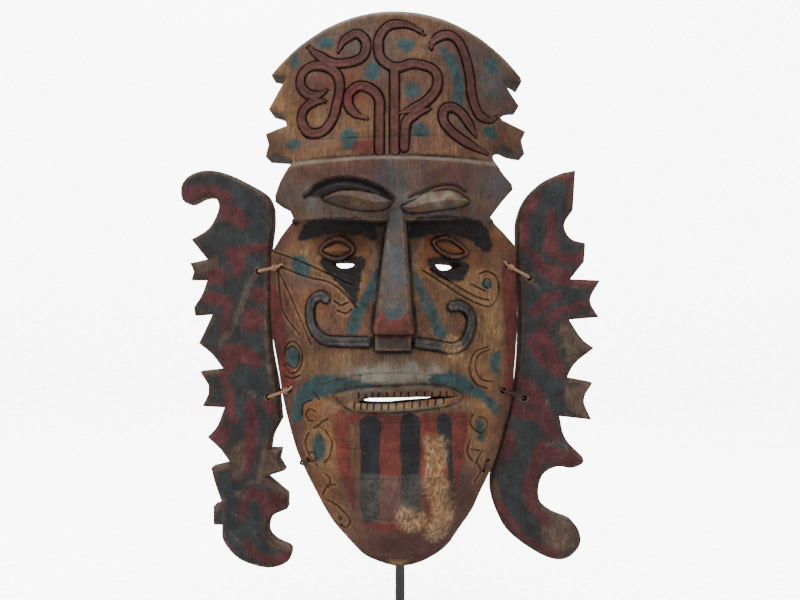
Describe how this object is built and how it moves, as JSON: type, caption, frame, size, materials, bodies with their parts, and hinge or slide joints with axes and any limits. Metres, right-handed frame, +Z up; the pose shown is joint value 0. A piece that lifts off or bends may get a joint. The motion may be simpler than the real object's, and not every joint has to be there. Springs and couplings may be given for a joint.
{
  "type": "carved spirit mask on a stand",
  "caption": "Carved and painted wooden spirit mask with a tall scroll-carved crown and lashed side boards, on a black steel rod stand with a flat foot.",
  "frame": {"origin": "centre of the underside of the stand's foot", "axes": "+Z up the mask, -Y out of the mask's face toward the viewer, +X to the viewer's right"},
  "size_m": [0.3394, 0.146, 0.529],
  "materials": {
    "painted_wood": "worn paint over carved wood",
    "board_wood": "worn dark paint over wood",
    "rattan": "split cane",
    "dark_wire": "dark twisted wire",
    "black_steel": "satin black"
  },
  "bodies": {
    "root": {"carved_mask": "painted_wood", "left_ear": "board_wood", "right_ear": "board_wood", "tie_upper_left": "rattan", "tie_lower_left": "rattan", "tie_upper_right": "rattan", "tie_lower_right": "dark_wire", "chin_loop_left": "dark_wire", "chin_loop_right": "dark_wire", "stand_rod": "black_steel", "stand_foot": "black_steel"}
  },
  "joints": []
}
